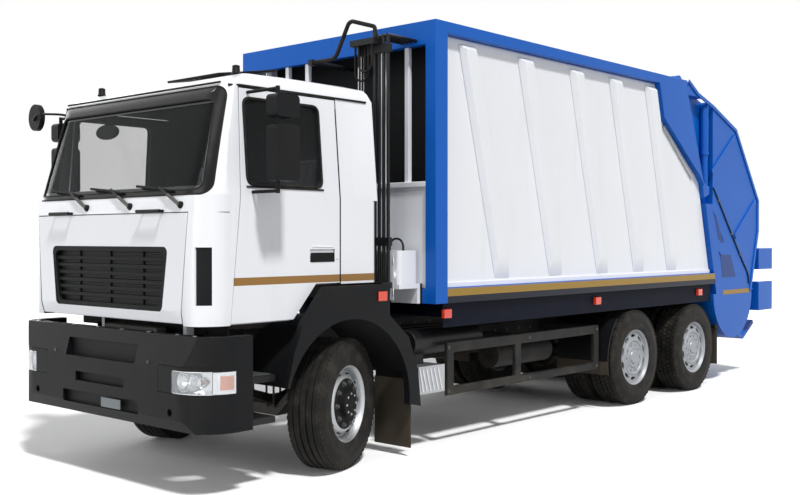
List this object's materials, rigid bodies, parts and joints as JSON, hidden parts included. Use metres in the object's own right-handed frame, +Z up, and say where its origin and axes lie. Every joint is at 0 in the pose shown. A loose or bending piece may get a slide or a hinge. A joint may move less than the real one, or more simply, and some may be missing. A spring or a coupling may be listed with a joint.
{
  "type": "garbage truck",
  "caption": "Rear-loading garbage truck with a tilting cab, ribbed load body, lifting tailgate, packer blade, ejector plate and bin lifter.",
  "frame": {"origin": "on the ground, in the middle of the length and width", "axes": "+X to the front of the truck, +Y to its left, +Z up"},
  "size_m": [9.515, 2.94, 3.7148],
  "materials": {
    "blue": "gloss",
    "white": "gloss",
    "navy": "satin",
    "chassis_black": "matt",
    "black_plastic": "grained",
    "black_steel": "satin",
    "bright_steel": "brushed",
    "cast_iron": "cast",
    "light_wheel": "satin",
    "tyre_rubber": "matt",
    "hose_rubber": "matt",
    "clear_glass": "polished",
    "lamp_plastic": "polished",
    "red_plastic": "polished",
    "seat_cloth": "woven",
    "green_steel": "satin"
  },
  "bodies": {
    "chassis": {"chassis_frame": "chassis_black", "front_axle": "cast_iron", "leaf_springs": "chassis_black", "rear_axles": "chassis_black", "power_unit": "cast_iron", "chassis_tanks": "chassis_black", "muffler": "bright_steel", "side_guards": "chassis_black", "front_bumper": "black_plastic", "headlamps": "lamp_plastic", "front_arches": "black_plastic", "cab_steps": "black_steel", "rear_mudguards": "black_plastic", "body_subframe": "navy", "body_frame": "blue", "ram_feet": "blue", "hoses": "hose_rubber", "body_side_left": "white", "body_side_right": "white", "body_front_wall": "white", "pipe_rack": "bright_steel", "control_box": "white", "marker_lamps": "red_plastic"},
    "ejector": {"ejector_plate": "green_steel"},
    "cab": {"cab_shell": "white", "windscreen": "clear_glass", "cab_trim": "black_plastic", "dashboard": "black_plastic", "seats": "seat_cloth"},
    "flap": {"front_flap": "white", "grille": "black_plastic"},
    "tailgate": {"tailgate_shell": "blue", "tail_lamp_boxes": "black_plastic"},
    "packer_carriage_body": {"packer_carriage": "blue"},
    "packer_blade_body": {"packer_blade": "blue"},
    "lifter": {"bin_lifter": "black_steel"},
    "left_door": {"door_left": "white", "door_glass_left": "clear_glass", "mirrors_left": "black_plastic"},
    "left_knuckle": {"knuckle_left": "cast_iron"},
    "left_front_wheel": {"tyre_front_left": "tyre_rubber", "rim_front_left": "light_wheel"},
    "left_second_wheels": {"tyres_second_left": "tyre_rubber", "rims_second_left": "light_wheel"},
    "left_last_wheels": {"tyres_last_left": "tyre_rubber", "rims_last_left": "light_wheel"},
    "left_ram_barrel": {"lift_barrel_left": "black_steel"},
    "left_ram_rod": {"lift_rod_left": "bright_steel"},
    "right_door": {"door_right": "white", "door_glass_right": "clear_glass", "mirrors_right": "black_plastic"},
    "right_knuckle": {"knuckle_right": "cast_iron"},
    "right_front_wheel": {"tyre_front_right": "tyre_rubber", "rim_front_right": "light_wheel"},
    "right_second_wheels": {"tyres_second_right": "tyre_rubber", "rims_second_right": "light_wheel"},
    "right_last_wheels": {"tyres_last_right": "tyre_rubber", "rims_last_right": "light_wheel"},
    "right_ram_barrel": {"lift_barrel_right": "black_steel"},
    "right_ram_rod": {"lift_rod_right": "bright_steel"}
  },
  "joints": [
    {"name": "cab_tilt", "type": "hinge", "parent": "chassis", "child": "cab", "pos_m": [4.6075, 0, 0.8], "axis": [0, 1, 0], "range_deg": [0, 50]},
    {"name": "front_flap_lift", "type": "hinge", "parent": "cab", "child": "flap", "pos_m": [4.6995, 0, 1.986], "axis": [0, -1, 0], "range_deg": [0, 70]},
    {"name": "ejector_push", "type": "slide", "parent": "chassis", "child": "ejector", "axis": [-1, 0, 0], "range_m": [0, 3.9]},
    {"name": "tailgate_lift", "type": "hinge", "parent": "chassis", "child": "tailgate", "pos_m": [-2.2625, 0, 3.64], "axis": [0, 1, 0], "range_deg": [0, 80]},
    {"name": "packer_slide", "type": "slide", "parent": "tailgate", "child": "packer_carriage_body", "axis": [-0.6947, 0, -0.7193], "range_m": [0, 0.5]},
    {"name": "packer_sweep", "type": "hinge", "parent": "packer_carriage_body", "child": "packer_blade_body", "pos_m": [-3.4125, 0, 2.35], "axis": [0, 1, 0], "range_deg": [0, 60]},
    {"name": "bin_tip", "type": "hinge", "parent": "tailgate", "child": "lifter", "pos_m": [-4.2825, 0, 1.01], "axis": [0, 1, 0], "range_deg": [0, 100]},
    {"name": "left_door_swing", "type": "hinge", "parent": "cab", "child": "left_door", "pos_m": [4.4455, 1.155, 1.6], "axis": [0, 0, -1], "range_deg": [0, 70]},
    {"name": "left_steer", "type": "hinge", "parent": "chassis", "child": "left_knuckle", "pos_m": [3.3375, 0.88, 0.512], "axis": [0, 0, 1], "range_deg": [-56.5, 19.5]},
    {"name": "left_front_wheel_spin", "type": "hinge", "parent": "left_knuckle", "child": "left_front_wheel", "pos_m": [3.3375, 0.88, 0.512], "axis": [-0.3173, 0.9483, 0], "continuous": true},
    {"name": "left_ram_swing", "type": "hinge", "parent": "tailgate", "child": "left_ram_barrel", "pos_m": [-2.8125, 1.185, 3.4], "axis": [0, 1, 0], "range_deg": [-74, 1]},
    {"name": "left_ram_stroke", "type": "slide", "parent": "left_ram_barrel", "child": "left_ram_rod", "axis": [0, 0, -1], "range_m": [0, 0.76]},
    {"name": "left_second_wheel_spin", "type": "hinge", "parent": "chassis", "child": "left_second_wheels", "pos_m": [-1.0925, 0, 0.512], "axis": [0, 1, 0], "continuous": true},
    {"name": "left_last_wheel_spin", "type": "hinge", "parent": "chassis", "child": "left_last_wheels", "pos_m": [-2.4925, 0, 0.512], "axis": [0, 1, 0], "continuous": true},
    {"name": "right_door_swing", "type": "hinge", "parent": "cab", "child": "right_door", "pos_m": [4.4455, -1.155, 1.6], "axis": [0, 0, 1], "range_deg": [0, 70]},
    {"name": "right_steer", "type": "hinge", "parent": "chassis", "child": "right_knuckle", "pos_m": [3.3375, -0.88, 0.512], "axis": [0, 0, 1], "range_deg": [-56.5, 19.5]},
    {"name": "right_front_wheel_spin", "type": "hinge", "parent": "right_knuckle", "child": "right_front_wheel", "pos_m": [3.3375, -0.88, 0.512], "axis": [-0.3173, 0.9483, 0], "continuous": true},
    {"name": "right_ram_swing", "type": "hinge", "parent": "tailgate", "child": "right_ram_barrel", "pos_m": [-2.8125, -1.185, 3.4], "axis": [0, 1, 0], "range_deg": [-74, 1]},
    {"name": "right_ram_stroke", "type": "slide", "parent": "right_ram_barrel", "child": "right_ram_rod", "axis": [0, 0, -1], "range_m": [0, 0.76]},
    {"name": "right_second_wheel_spin", "type": "hinge", "parent": "chassis", "child": "right_second_wheels", "pos_m": [-1.0925, 0, 0.512], "axis": [0, 1, 0], "continuous": true},
    {"name": "right_last_wheel_spin", "type": "hinge", "parent": "chassis", "child": "right_last_wheels", "pos_m": [-2.4925, 0, 0.512], "axis": [0, 1, 0], "continuous": true}
  ],
  "couplings": [
    {"joint": "left_ram_swing", "follows": "tailgate_lift", "ratio": -0.91168},
    {"joint": "left_ram_stroke", "follows": "tailgate_lift", "m_per_rad": 0.53961},
    {"joint": "right_ram_swing", "follows": "tailgate_lift", "ratio": -0.91168},
    {"joint": "right_ram_stroke", "follows": "tailgate_lift", "m_per_rad": 0.53961},
    {"joint": "right_steer", "follows": "left_steer", "ratio": 1}
  ]
}
